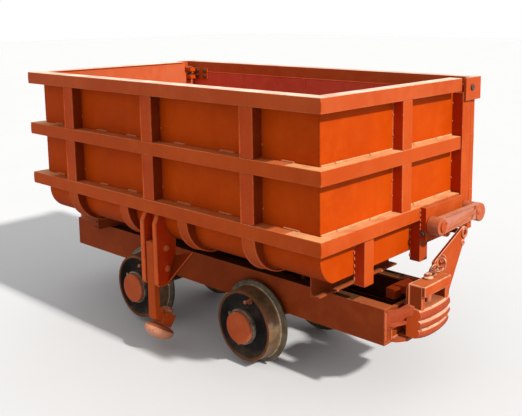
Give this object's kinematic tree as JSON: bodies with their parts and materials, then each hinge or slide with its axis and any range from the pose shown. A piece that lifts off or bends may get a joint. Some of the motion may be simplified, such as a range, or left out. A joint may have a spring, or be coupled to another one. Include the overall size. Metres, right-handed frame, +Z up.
{
  "type": "side-dump mine cart",
  "caption": "Rail mine cart whose tub tips sideways about a low pivot, with a top-hung dump door held by latch arms, a dump roller, cast wheels and pin couplers.",
  "frame": {"origin": "on the ground under the middle of the cart's outer box; the track's centre line is 73.7 mm to the -Y side of it", "axes": "+X along the track toward the picture's right-hand end, +Y across the track toward the dump door, +Z up"},
  "size_m": [2.5, 1.2326, 1.3325],
  "materials": {
    "body_paint": "satin",
    "frame_paint": "matte",
    "painted_casting": "satin",
    "worn_steel": "satin",
    "cap_paint": "satin",
    "bare_steel": "satin"
  },
  "bodies": {
    "frame": {"sill_near": "frame_paint", "sill_far": "frame_paint", "bolster_left": "frame_paint", "bolster_right": "frame_paint", "end_frame_left": "frame_paint", "end_frame_right": "frame_paint", "pivot_pin_left": "bare_steel", "pivot_pin_right": "bare_steel", "coupler_left": "painted_casting", "coupler_right": "painted_casting", "axle_left": "worn_steel", "axle_right": "worn_steel", "axle_cradle_left": "frame_paint", "axle_cradle_right": "frame_paint"},
    "tub": {"hopper_plate": "body_paint", "rim_band": "body_paint", "middle_band": "body_paint", "lower_band": "body_paint", "side_rib_left": "body_paint", "side_rib_middle": "body_paint", "side_rib_right": "body_paint", "roller_arm": "body_paint", "roller_axle": "bare_steel", "end_wall_left": "body_paint", "end_wall_right": "body_paint", "floor_rib_left": "body_paint", "floor_rib_right": "body_paint", "end_rib_left": "body_paint", "end_rib_right": "body_paint", "corner_post_left": "body_paint", "corner_post_right": "body_paint", "door_hinge_pin_left": "bare_steel", "door_hinge_pin_right": "bare_steel", "bearing_plate_left": "body_paint", "bearing_plate_right": "body_paint", "roller_bracket_left": "body_paint", "roller_bracket_right": "body_paint"},
    "door": {"door_panel": "body_paint", "door_top_beam": "body_paint", "door_rail_middle": "body_paint", "door_rail_lower": "body_paint", "door_rib_left": "body_paint", "door_rib_right": "body_paint", "door_stile_left": "body_paint", "door_stile_right": "body_paint"},
    "latch_left": {"latch_arm_left": "painted_casting"},
    "latch_right": {"latch_arm_right": "painted_casting"},
    "roller": {"dump_roller": "worn_steel"},
    "wheelset_left_near": {"wheel_left_near": "worn_steel", "hub_cap_left_near": "cap_paint"},
    "wheelset_left_far": {"wheel_left_far": "worn_steel", "hub_cap_left_far": "cap_paint"},
    "wheelset_right_near": {"wheel_right_near": "worn_steel", "hub_cap_right_near": "cap_paint"},
    "wheelset_right_far": {"wheel_right_far": "worn_steel", "hub_cap_right_far": "cap_paint"},
    "pin_left": {"coupling_pin_left": "bare_steel"},
    "pin_right": {"coupling_pin_right": "bare_steel"},
    "chain_left": {"pin_chain_left": "bare_steel"},
    "chain_right": {"pin_chain_right": "bare_steel"}
  },
  "joints": [
    {"name": "body_tip", "type": "hinge", "parent": "frame", "child": "tub", "pos_m": [0, 0.29632, 0.638], "axis": [-1, 0, 0], "range_deg": [0, 40]},
    {"name": "door_swing", "type": "hinge", "parent": "tub", "child": "door", "pos_m": [0, 0.52432, 1.285], "axis": [1, 0, 0], "range_deg": [0, 40.5]},
    {"name": "latch_lift_left", "type": "hinge", "parent": "tub", "child": "latch_left", "pos_m": [0, 0.13932, 0.692], "axis": [1, 0, 0], "range_deg": [0, 32.5]},
    {"name": "latch_lift_right", "type": "hinge", "parent": "tub", "child": "latch_right", "pos_m": [0, 0.13932, 0.692], "axis": [1, 0, 0], "range_deg": [0, 32.5]},
    {"name": "roller_spin", "type": "hinge", "parent": "tub", "child": "roller", "pos_m": [-0.033, -0.49088, 0.199], "axis": [0, -0.5446, -0.8387], "continuous": true},
    {"name": "wheel_spin_left_near", "type": "hinge", "parent": "frame", "child": "wheelset_left_near", "pos_m": [-0.4, -0.07368, 0.2], "axis": [0, 1, 0], "continuous": true},
    {"name": "wheel_spin_left_far", "type": "hinge", "parent": "frame", "child": "wheelset_left_far", "pos_m": [-0.4, -0.07368, 0.2], "axis": [0, 1, 0], "continuous": true},
    {"name": "wheel_spin_right_near", "type": "hinge", "parent": "frame", "child": "wheelset_right_near", "pos_m": [0.4, -0.07368, 0.2], "axis": [0, 1, 0], "continuous": true},
    {"name": "wheel_spin_right_far", "type": "hinge", "parent": "frame", "child": "wheelset_right_far", "pos_m": [0.4, -0.07368, 0.2], "axis": [0, 1, 0], "continuous": true},
    {"name": "pin_lift_left", "type": "slide", "parent": "frame", "child": "pin_left", "axis": [0, 0, 1], "range_m": [0, 0.1]},
    {"name": "pin_lift_right", "type": "slide", "parent": "frame", "child": "pin_right", "axis": [0, 0, 1], "range_m": [0, 0.1]},
    {"name": "chain_swing_left", "type": "hinge", "parent": "frame", "child": "chain_left", "pos_m": [-1.17, 0.09832, 0.562], "axis": [-1, 0, 0], "range_deg": [0, 42.5]},
    {"name": "chain_swing_right", "type": "hinge", "parent": "frame", "child": "chain_right", "pos_m": [1.17, 0.09832, 0.562], "axis": [-1, 0, 0], "range_deg": [0, 42.5]}
  ],
  "couplings": [
    {"joint": "door_swing", "follows": "body_tip", "ratio": 1},
    {"joint": "latch_lift_left", "follows": "body_tip", "ratio": 0.8},
    {"joint": "latch_lift_right", "follows": "body_tip", "ratio": 0.8},
    {"joint": "chain_swing_left", "follows": "pin_lift_left", "rad_per_m": 7.3},
    {"joint": "chain_swing_right", "follows": "pin_lift_right", "rad_per_m": 7.3}
  ]
}
